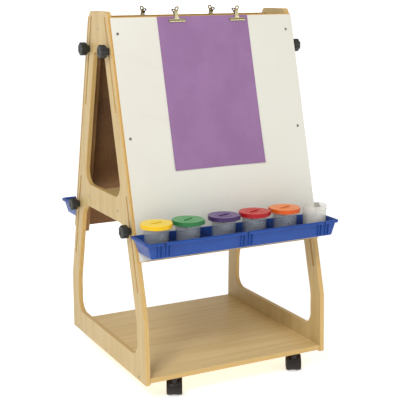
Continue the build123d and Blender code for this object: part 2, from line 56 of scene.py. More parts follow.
LIDDED = ("yellow", "green", "purple", "red", "orange")
CUPS = LIDDED + ("open",)
X_AXIS = Vector((1, 0, 0))
Y_AXIS = Vector((0, 1, 0))
Z_AXIS = Vector((0, 0, 1))


def srgb(red, green, blue):
    """An 8-bit sRGB colour as linear RGBA."""
    shares = [c / 255 for c in (red, green, blue)]
    linear = [c / 12.92 if c <= 0.04045 else ((c + 0.055) / 1.055) ** 2.4 for c in shares]
    return (*linear, 1.0)


def joint(name):
    return next(j for j in frame["joints"] if j["name"] == name)


# ---------------------------------------------------------------- the slope of the boards


class Slope:
    """Places on one side's board: x across, s up the slope and off outwards from the board's face."""

    def __init__(self, side):
        self.up = Vector(joint(f"{side}_board_height")["axis"]).normalized()
        sign = 1 if side == "front" else -1
        self.out = Vector((0, -sign * self.up.z, sign * self.up.y))
        board = frame["nodes"][f"{side}_board"].data
        self.origin = self.out * max(self.out.dot(v.co) for v in board.vertices)
        self.top = max(self.up.dot(v.co) for v in board.vertices)
        self.low = min(self.up.dot(v.co) for v in board.vertices)

    def point(self, x, s, off):
        return self.origin + X_AXIS * x + self.up * s + self.out * off

    def matrix(self, x, s, off):
        """Local X across, Y up the slope, Z outwards."""
        across = self.up.cross(self.out)
        turn = Matrix((across, self.up, self.out)).transposed()
        return Matrix.Translation(self.point(x, s, off)) @ turn.to_4x4()

    def measure(self, place):
        """The s and off of a point."""
        away = Vector(place) - self.origin
        return away.dot(self.up), away.dot(self.out)

    def face_y(self, z):
        """Where the board's face is at height z."""
        s = (z - self.origin.z) / self.up.z
        return self.origin.y + s * self.up.y


SLOPES = {side: Slope(side) for side in SIDES}


# ---------------------------------------------------------------- materials


class Paint:
    """A Principled material whose procedural nodes are added one by one."""

    def __init__(self, name, **finish):
        self.material = bpy.data.materials.new(name)
        self.material.use_nodes = True
        self.tree = self.material.node_tree
        self.shader = self.tree.nodes["Principled BSDF"]
        self.coords = self.add("ShaderNodeTexCoord")
        for socket, value in finish.items():
            self.shader.inputs[socket.replace("_", " ")].default_value = value

    def add(self, kind, **settings):
        node = self.tree.nodes.new(kind)
        for key, value in settings.items():
            setattr(node, key, value)
        return node

    def feed(self, socket, value):
        if isinstance(value, bpy.types.NodeSocket):
            self.tree.links.new(value, socket)
        else:
            socket.default_value = value

    def math(self, operation, first, second=0.0):
        node = self.add("ShaderNodeMath", operation=operation)
        self.feed(node.inputs[0], first)
        self.feed(node.inputs[1], second)
        return node.outputs[0]

    def stretched(self, scale):
        """Object coordinates scaled along each axis, in features per metre."""
        node = self.add("ShaderNodeMapping")
        self.feed(node.inputs["Vector"], self.coords.outputs["Object"])
        node.inputs["Scale"].default_value = scale
        return node.outputs[0]

    def noise(self, scale, detail=2.0, distortion=0.0):
        node = self.add("ShaderNodeTexNoise")
        self.feed(node.inputs["Vector"], self.stretched(scale))
        node.inputs["Scale"].default_value = 1.0
        node.inputs["Detail"].default_value = detail
        node.inputs["Distortion"].default_value = distortion
        return node.outputs["Fac"]

    def facing(self, direction):
        """How far the surface faces a direction of its own object, from -1 to 1."""
        node = self.add("ShaderNodeVectorMath", operation="DOT_PRODUCT")
        self.feed(node.inputs[0], self.coords.outputs["Normal"])
        node.inputs[1].default_value = direction
        return node.outputs["Value"]

    def along(self, direction):
        """The object coordinate along a direction, in metres."""
        node = self.add("ShaderNodeVectorMath", operation="DOT_PRODUCT")
        self.feed(node.inputs[0], self.coords.outputs["Object"])
        node.inputs[1].default_value = direction
        return node.outputs["Value"]

    def step(self, value, low, high, start=0.0, end=1.0):
        node = self.add("ShaderNodeMapRange", interpolation_type="SMOOTHSTEP")
        self.feed(node.inputs["Value"], value)
        ends = {"From Min": low, "From Max": high, "To Min": start, "To Max": end}
        for name, number in ends.items():
            node.inputs[name].default_value = number
        return node.outputs["Result"]

    def mix(self, share, first, second):
        node = self.add("ShaderNodeMix", data_type="RGBA", blend_type="MIX")
        self.feed(node.inputs[0], share)
        self.feed(node.inputs[6], first)
        self.feed(node.inputs[7], second)
        return node.outputs[2]

    def colour(self, value):
        self.feed(self.shader.inputs["Base Color"], value)

    def rough(self, value):
        self.feed(self.shader.inputs["Roughness"], value)

    def bump(self, height, depth, strength=1.0):
        """Adds relief of that depth in metres, over any relief that is there."""
        node = self.add("ShaderNodeBump")
        node.inputs["Strength"].default_value = strength
        node.inputs["Distance"].default_value = depth
        self.feed(node.inputs["Height"], height)
        if self.shader.inputs["Normal"].is_linked:
            self.feed(node.inputs["Normal"], self.shader.inputs["Normal"].links[0].from_socket)
        self.feed(self.shader.inputs["Normal"], node.outputs["Normal"])


def by_axis(axis, along, across):
    """A scale vector with its small value along the grain's axis."""
    return tuple(along if i == "XYZ".index(axis) else across for i in range(3))


def wood_figure(paint, grain):
    """Broad bands, fine streaks and short pores along the grain."""
    bands = paint.noise(by_axis(grain, 1.3, 26), detail=3, distortion=0.7)
    streaks = paint.noise(by_axis(grain, 5, 240), detail=4)
    pores = paint.step(paint.noise(by_axis(grain, 55, 1500), detail=1), 0.60, 0.72)
    return bands, streaks, pores


def lacquered(paint, pores, streaks):
    """A thin satin lacquer that follows the grain a little."""
    paint.rough(paint.step(streaks, 0.3, 0.7, 0.40, 0.50))
    paint.bump(pores, -0.00006)
    paint.bump(streaks, 0.00012)


# How squarely a face looks along the sheet's thickness where the cut edge turns into the veneer.
VENEER_FACING = (0.55, 0.85)
PLIES_PER_METRE = 740


def plywood(name, grain, thickness_axis, veneer):
    """Birch plywood: pale veneer in three tones on its faces and amber layers on its edges."""
    pale, middle, dark = veneer
    paint = Paint(name, Specular_IOR_Level=0.25, Coat_Weight=0.08, Coat_Roughness=0.25)
    bands, streaks, pores = wood_figure(paint, grain)
    face = paint.mix(paint.step(bands, 0.36, 0.66), pale, middle)
    face = paint.mix(paint.step(streaks, 0.35, 0.75, 0.0, 0.3), face, dark)
    face = paint.mix(paint.math("MULTIPLY", pores, 0.16), face, srgb(150, 118, 72))
    layer = paint.math("MULTIPLY", paint.along(thickness_axis), PLIES_PER_METRE)
    wave = paint.math("SINE", paint.math("MULTIPLY", layer, math.pi))
    edge = paint.mix(paint.step(wave, -0.35, 0.35), srgb(208, 176, 114), srgb(188, 150, 86))
    edge = paint.mix(paint.step(streaks, 0.3, 0.7, 0.0, 0.35), edge, srgb(214, 184, 124))
    facing = paint.math("ABSOLUTE", paint.facing(thickness_axis))
    paint.colour(paint.mix(paint.step(facing, *VENEER_FACING), edge, face))
    lacquered(paint, pores, streaks)
    return paint.material


def solid_wood(name, grain, pale, dark):
    """One board of lacquered wood with open pores."""
    paint = Paint(name, Specular_IOR_Level=0.25, Coat_Weight=0.06, Coat_Roughness=0.3)
    bands, streaks, pores = wood_figure(paint, grain)
    body = paint.mix(paint.step(bands, 0.32, 0.68), pale, dark)
    body = paint.mix(paint.step(streaks, 0.35, 0.75, 0.0, 0.5), body, dark)
    paint.colour(paint.mix(paint.math("MULTIPLY", pores, 0.3), body, srgb(70, 48, 28)))
    lacquered(paint, pores, streaks)
    return paint.material


BEVEL = 3 * MM
# Painted highlight: this far down from the board's top, the brown back is painted in the golden edge
# colour where light falls on it.
LIT_TOP_BAND = 14 * MM
SCREEN_PITCH = 1.3 * MM
# How far a face looks outwards where the brown back turns into the cut edge.
BACK_FACING = (-0.75, -0.55)


def board_finish(side):
    """White face with golden bevels and edges, and the screen-marked brown back of hardboard, painted
    golden along its top as a painted highlight.
    """
    slope = SLOPES[side]
    paint = Paint(f"{side}_board_finish", Coat_Roughness=0.2)
    cloud = paint.noise((2.2, 2.2, 2.2), detail=3)
    smear = paint.noise((5, 5, 14), detail=4, distortion=1.5)
    white = paint.mix(paint.step(cloud, 0.35, 0.65), srgb(216, 214, 203), srgb(213, 210, 198))
    white = paint.mix(paint.step(smear, 0.55, 0.8, 0.0, 0.3), white, srgb(207, 203, 190))
    fibre = paint.noise((420, 420, 420), detail=4)
    patch = paint.noise((9, 9, 9), detail=4)
    brown = paint.mix(paint.step(fibre, 0.35, 0.65), srgb(134, 97, 60), srgb(102, 71, 45))
    brown = paint.mix(paint.step(patch, 0.3, 0.7, 0.0, 0.6), brown, srgb(150, 111, 69))
    edge = paint.mix(paint.step(fibre, 0.35, 0.65), srgb(206, 164, 92), srgb(182, 140, 72))
    height = paint.along(slope.up)
    # Painted highlight: the top band of the brown back takes the golden edge colour.
    lit_from = slope.top - LIT_TOP_BAND
    brown = paint.mix(paint.step(height, lit_from, lit_from + 2 * MM), brown, edge)
    middle = (slope.top + slope.low) / 2
    from_middle = paint.math("ABSOLUTE", paint.math("SUBTRACT", height, middle))
    bevel = (slope.top - slope.low) / 2 - BEVEL
    white = paint.mix(paint.step(from_middle, bevel, bevel + 0.5 * MM), white, edge)
    faced = paint.facing(slope.out)
    surface = paint.mix(paint.step(faced, 0.8, 0.95), edge, white)
    surface = paint.mix(paint.step(faced, *BACK_FACING), brown, surface)
    paint.colour(surface)
    paint.rough(paint.step(faced, 0.5, 0.8, 0.72, 0.34))
    weave = []
    for direction in (X_AXIS, slope.up):
        phase = paint.math("MULTIPLY", paint.along(direction), TAU / SCREEN_PITCH)
        weave.append(paint.math("SINE", phase))
    behind = paint.step(faced, *BACK_FACING, 1.0, 0.0)
    screen = paint.math("MULTIPLY", paint.math("MULTIPLY", *weave), behind)
    paint.bump(screen, 0.00012)
    paint.bump(cloud, 0.0004, 0.5)
    return paint.material


def moulded(name, colour, shade, rough, grain=0.00004, **finish):
    """Moulded plastic: a little colour drift, a fine texture and uneven gloss."""
    paint = Paint(name, **finish)
    drift = paint.noise((18, 18, 18), detail=3)
    paint.colour(paint.mix(paint.step(drift, 0.3, 0.7), colour, shade))
    gloss = paint.noise((60, 60, 60), detail=3)
    paint.rough(paint.step(gloss, 0.3, 0.7, rough - 0.04, rough + 0.06))
    paint.bump(paint.noise((1400, 1400, 1400), detail=2), grain)
    return paint.material


def nickel_finish():
    """Yellowish nickel with painted light: a painted highlight on the flats of a clip, painted shade on
    its edges and on its rings.
    """
    paint = Paint("nickel_plate", Metallic=0.6)
    flat = paint.math("ABSOLUTE", paint.facing(Y_AXIS))
    stain = paint.noise((160, 160, 160), detail=4)
    bright = paint.mix(paint.step(stain, 0.4, 0.7), srgb(226, 216, 172), srgb(206, 194, 148))
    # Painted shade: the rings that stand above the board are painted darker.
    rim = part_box("front_board")[1].z
    ring = paint.step(paint.along(Z_AXIS), rim + 4 * MM, rim + 16 * MM, 0.0, 0.9)
    bright = paint.mix(ring, bright, srgb(136, 120, 84))
    # Painted highlight on the faces that look along Y, painted shade on the edges that turn away from
    # it.
    paint.colour(paint.mix(paint.step(flat, 0.70, 0.94), srgb(96, 82, 56), bright))
    paint.rough(paint.step(stain, 0.3, 0.7, 0.3, 0.42))
    return paint.material


def plated(name, colour, shade, rough):
    """Plated steel with small stains and faint polishing lines."""
    paint = Paint(name, Metallic=1.0)
    stain = paint.noise((160, 160, 160), detail=4)
    paint.colour(paint.mix(paint.step(stain, 0.4, 0.7), colour, shade))
    paint.rough(paint.step(stain, 0.3, 0.7, rough, rough + 0.14))
    paint.bump(paint.noise((2600, 300, 2600), detail=2), 0.00002)
    return paint.material


def lid_finish(name, side, top):
    """Moulded plastic with a paler top, a painted reflection of the bright sky."""
    paint = Paint(name, Specular_IOR_Level=0.25)
    drift = paint.step(paint.noise((18, 18, 18), detail=3), 0.3, 0.7, 0.0, 0.12)
    # Painted reflection: faces that look up take the paler top colour.
    body = paint.mix(paint.step(paint.facing(Z_AXIS), 0.5, 0.95), side, top)
    paint.colour(paint.mix(drift, body, side))
    paint.rough(paint.step(paint.noise((60, 60, 60), detail=3), 0.3, 0.7, 0.3, 0.4))
    paint.bump(paint.noise((1400, 1400, 1400), detail=2), 0.00004)
    return paint.material


def paper_finish():
    """Construction paper: fibres of lighter and darker purple, quite matt."""
    paint = Paint("construction_paper", Sheen_Weight=0.15, Sheen_Roughness=0.6)
    fibre = paint.noise((700, 700, 260), detail=5, distortion=0.8)
    cloud = paint.noise((12, 12, 9), detail=3)
    body = paint.mix(paint.step(cloud, 0.35, 0.65), srgb(142, 104, 146), srgb(135, 98, 140))
    body = paint.mix(paint.step(fibre, 0.5, 0.8, 0.0, 0.5), body, srgb(158, 124, 162))
    paint.colour(paint.mix(paint.step(fibre, 0.22, 0.36, 0.45, 0.0), body, srgb(112, 78, 122)))
    paint.rough(0.88)
    paint.bump(fibre, 0.0001)
    return paint.material


def frosted_finish(name, milkiness, pale, dark):
    """Thin translucent polypropylene, as milky as the share of light that each surface stops."""
    paint = Paint(name, Alpha=milkiness, Specular_IOR_Level=0.5)
    haze = paint.noise((40, 40, 25), detail=3)
    paint.colour(paint.mix(paint.step(haze, 0.35, 0.65), pale, dark))
    paint.rough(paint.step(haze, 0.3, 0.7, 0.18, 0.30))
    paint.bump(paint.noise((900, 900, 900), detail=2), 0.00004)
    return paint.material


# Side colour, then the paler top colour that is a painted reflection of the sky.
LID_COLOURS = {
    "yellow": (srgb(222, 178, 22), srgb(246, 216, 82)),
    "green": (srgb(40, 106, 58), srgb(92, 160, 104)),
    "purple": (srgb(60, 40, 84), srgb(112, 88, 136)),
    "red": (srgb(160, 20, 28), srgb(202, 66, 62)),
    "orange": (srgb(202, 84, 26), srgb(240, 146, 84)),
}
PANEL_VENEER = (srgb(198, 173, 122), srgb(188, 162, 109), srgb(174, 146, 94))
# Painted light: the shelves' birch is painted lighter than the panels' to make up for the shade they
# sit in.
SHELF_VENEER_LIT = (srgb(226, 199, 143), srgb(215, 186, 127), srgb(196, 165, 105))
MATERIALS = {
    "panel": plywood("birch_panel", "Z", X_AXIS, PANEL_VENEER),
    "shelf": plywood("birch_shelf", "X", Z_AXIS, SHELF_VENEER_LIT),
    "rail": solid_wood("birch_rail", "X", srgb(213, 189, 138), srgb(192, 163, 108)),
    # The cleats are painted a darker brown than the birch.
    "cleat": solid_wood("brown_cleat", "Z", srgb(172, 134, 88), srgb(146, 108, 68)),
    "knob": moulded("knob_black", srgb(38, 38, 33), srgb(29, 29, 26), 0.50, 0.0002),
    "caster": moulded("caster_black", srgb(34, 28, 23), srgb(27, 22, 18), 0.38, Specular_IOR_Level=0.3),
    "wheel": moulded("wheel_black", srgb(34, 28, 23), srgb(24, 20, 17), 0.44, Specular_IOR_Level=0.3),
    "tray": moulded("tray_blue", srgb(35, 73, 148), srgb(31, 67, 139), 0.36, Specular_IOR_Level=0.25),
    "zinc": plated("zinc_plate", srgb(150, 150, 146), srgb(118, 118, 114), 0.34),
    "bolt": plated("bolt_steel", srgb(176, 176, 172), srgb(150, 150, 146), 0.28),
    "nickel": nickel_finish(),
    "spring": plated("spring_steel", srgb(120, 116, 104), srgb(84, 80, 70), 0.30),
    "paper": paper_finish(),
    "cup": frosted_finish("frosted_cup", 0.19, srgb(196, 202, 206), srgb(182, 188, 192)),
    # Painted light: the open cup is a paler, milkier copy of the cup plastic, for the light that falls
    # in through its open top.
    "lit_open_cup": frosted_finish("frosted_open_cup", 0.38, srgb(238, 234, 224), srgb(224, 220, 210)),
}
for side in SIDES:
    MATERIALS[f"{side}_board"] = board_finish(side)
for colour, shades in LID_COLOURS.items():
    MATERIALS[f"lid_{colour}"] = lid_finish(f"lid_{colour}_plastic", *shades)


def finish_nodes(material, *names):
    """Gives CAD nodes that stay a procedural material."""
    for name in names:
        for slot in frame["nodes"][name].material_slots:
            slot.material = MATERIALS[material]


finish_nodes("panel", "end_panel_left", "end_panel_right")
finish_nodes("shelf", "bottom_shelf", "inner_shelf")
finish_nodes("rail", "top_rail")
finish_nodes("bolt", "caster_stems", "caster_sockets")
for side in SIDES:
    finish_nodes(f"{side}_board", f"{side}_board")
    finish_nodes("cleat", f"{side}_cleat_left", f"{side}_cleat_right")
    finish_nodes("bolt", f"{side}_knob_bolts")


# ---------------------------------------------------------------- mesh helpers


SHARP_EDGE = math.radians(32)


def new_piece(name, bm, material, body, nodes):
    """Makes a shown piece of a bmesh: it rides on a body and stands for CAD nodes."""
    bmesh.ops.remove_doubles(bm, verts=bm.verts, dist=1e-7)
    bmesh.ops.recalc_face_normals(bm, faces=bm.faces)
    for face in bm.faces:
        face.smooth = True
    for edge in bm.edges:
        edge.smooth = edge.calc_face_angle(0.0) < SHARP_EDGE
    mesh = bpy.data.meshes.new(name)
    bm.to_mesh(mesh)
    bm.free()
    mesh.materials.append(MATERIALS[material])
    piece = bpy.data.objects.new(name, mesh)
    bpy.context.scene.collection.objects.link(piece)
    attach(piece, body)
    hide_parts(*nodes)
    return piece


def bridge(bm, low, high):
    """Faces between two loops of points, either of which may be a single point."""
    count = max(len(low), len(high))
    for i in range(count):
        j = (i + 1) % count
        corners = [low[i % len(low)], low[j % len(low)], high[j % len(high)], high[i % len(high)]]
        corners = list(dict.fromkeys(corners))
        if len(corners) > 2:
            bm.faces.new(corners)


def rounded(corners, steps=4):
    """A profile of (r, z, rounding, outline) corners, with each rounding cut into an arc."""
    rings = []
    for i, (r, z, rounding, *outline) in enumerate(corners):
        here = Vector((r, z))
        if not rounding:
            rings.append((r, z, *outline))
            continue
        before = (Vector(corners[i - 1][:2]) - here).normalized()
        after = (Vector(corners[i + 1][:2]) - here).normalized()
        half = before.angle(after) / 2
        reach = rounding / math.tan(half)
        start, end = here + before * reach, here + after * reach
        for k in range(steps + 1):
            t = k / steps
            bend = start * (1 - t) ** 2 + here * 2 * t * (1 - t) + end * t**2
            rings.append((bend.x, bend.y, *outline))
    return rings


def lathe(bm, rings, segments, matrix):
    """Turns a profile of (r, z) or (r, z, outline) rings about the local Z axis."""
    loops = []
    for r, z, *outline in rings:
        if r == 0:
            loops.append([bm.verts.new(matrix @ Vector((0, 0, z)))])
            continue
        loop = []
        for i in range(segments):
            angle = TAU * i / segments
            reach = outline[0](angle, r) if outline else r
            point = Vector((reach * math.cos(angle), reach * math.sin(angle), z))
            loop.append(bm.verts.new(matrix @ point))
        loops.append(loop)
    for low, high in zip(loops, loops[1:]):
        bridge(bm, low, high)


def prism(bm, outline, low, high, matrix):
    """A closed prism of a flat outline in local X and Y."""
    loops = [[bm.verts.new(matrix @ Vector((x, y, z))) for x, y in outline] for z in (low, high)]
    bridge(bm, *loops)
    bm.faces.new(loops[0])
    bm.faces.new(loops[1])


def softened(bm, width, angle=30.0, segments=2):
    """Rounds the edges that are sharper than an angle."""
    bmesh.ops.recalc_face_normals(bm, faces=bm.faces)
    edges = [e for e in bm.edges if e.calc_face_angle(0.0) > math.radians(angle)]
    bmesh.ops.bevel(bm, geom=edges, offset=width, segments=segments, affect="EDGES", profile=0.5)


def turned_to(direction, place):
    """A matrix that takes local Z to a direction, at a place."""
    turn = Vector(direction).to_track_quat("Z", "Y").to_matrix().to_4x4()
    return Matrix.Translation(place) @ turn


def box_middle(node):
    low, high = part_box(node)
    return (low + high) / 2


# ---------------------------------------------------------------- knobs

KNOB_LOBES = 7
KNOB_VALLEY = 0.17
KNOB_ROUNDNESS = 0.02
KNOB_CAP = 20 * MM


def lobed(angle, radius):
    """Round lobes with narrow valleys between them."""
    wave = math.sqrt(math.cos(angle * KNOB_LOBES / 2) ** 2 + KNOB_ROUNDNESS)
    return radius * (1 - KNOB_VALLEY * (1 - min(wave, 1.0)))


def make_knob(side, level, hand):
    name = f"knob_{side}_{level}_{hand}"
    low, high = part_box(name)
    middle = (low + high) / 2
    sign = HANDS[hand]
    base = Vector((low.x if sign > 0 else high.x, middle.y, middle.z))
    length = high.x - low.x
    head = 20 * MM
    boss = 11 * MM
    bore, bore_end = 4.05 * MM, 22 * MM
    neck = length - KNOB_CAP
    profile = [
        (0, bore_end, 0),
        (bore, bore_end, 0),
        (bore, 0, 0),
        (boss, 0, 0.8 * MM),
        (boss, neck, 0.6 * MM),
        (head, neck + 0.2 * MM, 2.2 * MM, lobed),
        (head, length, 3.6 * MM, lobed),
        (9 * MM, length, 0.8 * MM),
        (8 * MM, length - 1.4 * MM, 0.6 * MM),
        (0, length - 1.4 * MM, 0),
    ]
    bm = bmesh.new()
    lathe(bm, rounded(profile), 84, turned_to((sign, 0, 0), base))
    new_piece(f"grip_{side}_{level}_{hand}", bm, "knob", name, [name])


# ---------------------------------------------------------------- cups and lids

CUP_WALL = 1.8 * MM
LID_TURNS = {"yellow": 12, "green": -40, "purple": -38, "red": -24, "orange": 150}
LID_R = 46 * MM
LID_TAB_REACH = 51 * MM
BAR_TURNS = {"yellow": 14, "green": 30, "purple": 18, "red": 24, "orange": 20}
BAR_HALF_L = 19 * MM
BAR_HALF_W = 2.2 * MM


def make_cup(colour):
    name = f"cup_{colour}"
    low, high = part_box(name)
    base = Vector(((low.x + high.x) / 2, (low.y + high.y) / 2, low.z))
    height = high.z - low.z
    rim = (high.x - low.x) / 2
    top = rim - 1.6 * MM
    foot = top - 5 * MM
    profile = [
        (0, 1.2 * MM, 0),
        (foot - 5 * MM, 1.2 * MM, 0.8 * MM),
        (foot - 4.1 * MM, 0, 0.6 * MM),
        (foot, 0, 3 * MM),
        (top - 0.7 * MM, height - 12 * MM, 0),
        (top - 0.2 * MM, height - 11.4 * MM, 0),
        (top - 0.1 * MM, height - 3.4 * MM, 0),
        (rim, height - 3 * MM, 0.6 * MM),
        (rim, height, 1.0 * MM),
        (top - CUP_WALL, height, 0.6 * MM),
        (foot - CUP_WALL, CUP_WALL + 1.2 * MM, 3 * MM),
        (0, CUP_WALL + 1.2 * MM, 0),
    ]
    bm = bmesh.new()
    lathe(bm, rounded(profile), 72, Matrix.Translation(base))
    material = "lit_open_cup" if colour == "open" else "cup"
    new_piece(f"paint_{name}", bm, material, name, [name])


def tabbed(turn):
    """A round outline that runs out to a thumb tab in one direction."""

    def outline(angle, radius):
        reach = radius + LID_TAB_REACH - LID_R
        spread = math.acos(radius / reach)
        away = abs((angle - math.radians(turn) + math.pi) % TAU - math.pi)
        if away >= spread:
            return radius
        return min(radius / math.cos(spread - away), reach - 1 * MM)

    return outline


def octagonal(turn):
    """A regular octagon with that inner radius, one flat facing along the bar."""

    def outline(angle, radius):
        corner = (angle - math.radians(turn) + TAU / 16) % (TAU / 8) - TAU / 16
        return radius / math.cos(corner)

    return outline


def make_lid(colour):
    name = f"lid_{colour}"
    bar_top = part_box(name)[1].z
    middle = box_middle(f"cup_{colour}")
    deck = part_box(f"cup_{colour}")[1].z + 2.8 * MM
    skirt = deck - 12.5 * MM
    tab = tabbed(LID_TURNS[colour])
    octagon = octagonal(BAR_TURNS[colour])
    radius = LID_R
    well = deck - 24 * MM
    profile = [
        (0, well + 1.6 * MM, 0),
        (10.5 * MM, well, 0.8 * MM),
        (16.5 * MM, deck - 2.5 * MM, 0.8 * MM),
        (radius - 3 * MM, deck - 2.5 * MM, 1.2 * MM, tab),
        (radius - 3 * MM, skirt, 0.6 * MM, tab),
        (radius, skirt, 0.8 * MM, tab),
        (radius, skirt + 4.6 * MM, 0.3 * MM, tab),
        (radius - 0.5 * MM, skirt + 5.2 * MM, 0.2 * MM, tab),
        (radius, skirt + 5.8 * MM, 0.3 * MM, tab),
        (radius, deck + 0.2 * MM, 1.3 * MM, tab),
        (radius - 3.4 * MM, deck + 0.2 * MM, 0.6 * MM, tab),
        (radius - 4.4 * MM, deck - 0.4 * MM, 0.5 * MM, tab),
        (25.4 * MM, deck - 0.4 * MM, 0.6 * MM, octagon),
        (24.2 * MM, deck + 0.5 * MM, 0.5 * MM, octagon),
        (21.4 * MM, deck + 0.5 * MM, 0.5 * MM, octagon),
        (20.2 * MM, deck - 0.4 * MM, 0.6 * MM, octagon),
        (0, deck - 0.4 * MM, 0),
    ]
    centre = Vector((middle.x, middle.y, 0))
    bm = bmesh.new()
    lathe(bm, rounded(profile, 3), 120, Matrix.Translation(centre))
    bar = bmesh.new()
    corners = [(-1, -1), (1, -1), (1, 1), (-1, 1)]
    outline = [(x * BAR_HALF_L, y * BAR_HALF_W) for x, y in corners]
    prism(bar, outline, -1 * MM, bar_top - deck, Matrix())
    softened(bar, 0.8 * MM, segments=3)
    turn = Matrix.Rotation(math.radians(BAR_TURNS[colour]), 4, "Z")
    bar.transform(Matrix.Translation(centre + Z_AXIS * deck) @ turn)
    join(bm, bar)
    new_piece(f"paint_{name}", bm, name, name, [name])


def join(bm, other):
    """Adds another bmesh's faces."""
    made = {v: bm.verts.new(v.co) for v in other.verts}
    for face in other.faces:
        bm.faces.new([made[v] for v in face.verts])
    other.free()


# ---------------------------------------------------------------- trays

TRAY_WALL = 2.5 * MM
TRAY_LIP = 6 * MM
TRAY_LIP_T = 2 * MM
TRAY_LIP_H = 8 * MM
TRAY_TAPER_END = 12 * MM
TRAY_TAPER_FRONT = 7 * MM
TRAY_CORNER = 15 * MM
NOTCH_X = (-265 * MM, 0.0, 265 * MM)
NOTCH_HALF = 3.5 * MM
NOTCH_STEPS = 8
# Points of the front wall nearer to the middle than this keep their x at every level.
UPRIGHT_TO = 0.27
BACK_X = (0.2, 0.1, 0.0, -0.1, -0.2)
RIB_STEPS = (-18 * MM, -7.5 * MM, 7.5 * MM, 18 * MM)
RIB_HALF_W = 1.7 * MM
RIB_PROUD = 4.8 * MM


def front_edge_points(half):
    """x of the points along the front wall, close together at the notches."""
    marks = {-half, half}
    for middle in NOTCH_X:
        for k in range(NOTCH_STEPS + 1):
            marks.add(middle + NOTCH_HALF * math.cos(math.pi * k / NOTCH_STEPS))
        marks.update((middle - NOTCH_HALF - 0.4 * MM, middle + NOTCH_HALF + 0.4 * MM))
    steps = 10
    for left, right in zip((-half, *NOTCH_X), (*NOTCH_X, half)):
        for k in range(1, steps):
            marks.add(left + (right - left) * k / steps)
    return sorted(x for x in marks if abs(x) <= half)


def make_tray(side):
    name = f"{side}_tray"
    low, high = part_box(name)
    slope = SLOPES[side]
    sign = -1 if side == "front" else 1
    rim, depth = high.z, high.z - low.z
    front = abs(low.y if side == "front" else high.y)
    half = high.x
    columns = front_edge_points(half - TRAY_CORNER - TRAY_TAPER_END)

    def ring(inset, z, back):
        """One level: inset is from the lip's outer edge, back is from the board's face."""
        share = (rim - z) / depth if inset >= TRAY_LIP else 0.0
        w = half - inset - TRAY_TAPER_END * share
        f = front - inset - TRAY_TAPER_FRONT * share
        b = abs(slope.face_y(z)) + back
        r = max(TRAY_CORNER - inset, 4 * MM)
        scale = (w - r) / columns[-1]
        points = [(x * scale if abs(x) > UPRIGHT_TO else x, f) for x in columns]
        corner = [(w - r + r * math.sin(a), f - r + r * math.cos(a)) for a in quarter_turn(10)]
        sides = [(w, f - r + (b + 3 * MM - f + r) * k / 6) for k in range(1, 6)]
        heel = [(w, b + 3 * MM), (w - 0.9 * MM, b + 0.9 * MM), (w - 3 * MM, b)]
        right = points + corner[1:] + sides + heel
        backs = [(x, b) for x in BACK_X]
        left = [(-x, y) for x, y in reversed(corner[1:] + sides + heel)]
        outline = right + backs + left
        placed = []
        for x, y in outline:
            lift = z
            for middle in NOTCH_X:
                if y == f and abs(x - middle) < NOTCH_HALF:
                    sag = math.sqrt(NOTCH_HALF**2 - (x - middle) ** 2)
                    lift = min(z, rim - TRAY_LIP_H + NOTCH_HALF - sag)
            placed.append(bm.verts.new((-sign * x, sign * y, lift)))
        return placed

    bm = bmesh.new()
    skin = TRAY_WALL
    levels = [
        (TRAY_LIP + 3 * MM, low.z, 0),
        (TRAY_LIP + 0.9 * MM, low.z + 0.8 * MM, 0),
        (TRAY_LIP, low.z + 3 * MM, 0),
        (TRAY_LIP, rim - skin, 0),
        (TRAY_LIP_T, rim - skin, 0),
        (TRAY_LIP_T, rim - TRAY_LIP_H, 0),
        (0.9 * MM, rim - TRAY_LIP_H, 0),
        (0.2 * MM, rim - TRAY_LIP_H + 0.9 * MM, 0),
        (0, rim - 3.6 * MM, 0),
        (0.3 * MM, rim - 2.2 * MM, 0.1 * MM),
        (1.1 * MM, rim - 1.0 * MM, 0.3 * MM),
        (2.3 * MM, rim - 0.3 * MM, 0.5 * MM),
        (3.8 * MM, rim, 0.7 * MM),
        (TRAY_LIP + skin - 1.4 * MM, rim, skin - 1.2 * MM),
        (TRAY_LIP + skin - 0.4 * MM, rim - 0.4 * MM, skin - 0.4 * MM),
        (TRAY_LIP + skin, rim - 1.4 * MM, skin),
        (TRAY_LIP + skin, low.z + skin + 4 * MM, skin),
        (TRAY_LIP + skin + 1.2 * MM, low.z + skin + 1.2 * MM, skin + 1.2 * MM),
        (TRAY_LIP + skin + 4 * MM, low.z + skin, skin + 4 * MM),
    ]
    loops = [ring(*level) for level in levels]
    for lower, upper in zip(loops, loops[1:]):
        bridge(bm, lower, upper)
    bm.faces.new(loops[0])
    bm.faces.new(loops[-1])
    for middle in NOTCH_X:
        for step in RIB_STEPS:
            tray_rib(bm, sign, middle + step, front - TRAY_LIP, low.z, rim, depth)
    new_piece(f"paint_{name}", bm, "tray", f"{side}_board_assembly", [name])


def quarter_turn(steps):
    return [math.pi / 2 * k / steps for k in range(steps + 1)]


def tray_rib(bm, sign, x, wall, foot, rim, depth):
    """An upright rib on the front wall, as steep as the wall, with a rounded front."""
    half, shoulder = RIB_HALF_W, RIB_PROUD - 0.7 * MM
    section = [(-half, -1.0 * MM), (half, -1.0 * MM), (half, shoulder), (half * 0.5, RIB_PROUD)]
    section += [(-half * 0.5, RIB_PROUD), (-half, shoulder)]
    loops = []
    for z in (foot + 4 * MM, rim - TRAY_WALL / 2):
        y = wall - TRAY_TAPER_FRONT * (rim - z) / depth
        loops.append([bm.verts.new((x + dx, sign * (y + dy), z)) for dx, dy in section])
    bridge(bm, *loops)
    bm.faces.new(loops[0])
    bm.faces.new(loops[1])


# ---------------------------------------------------------------- clips

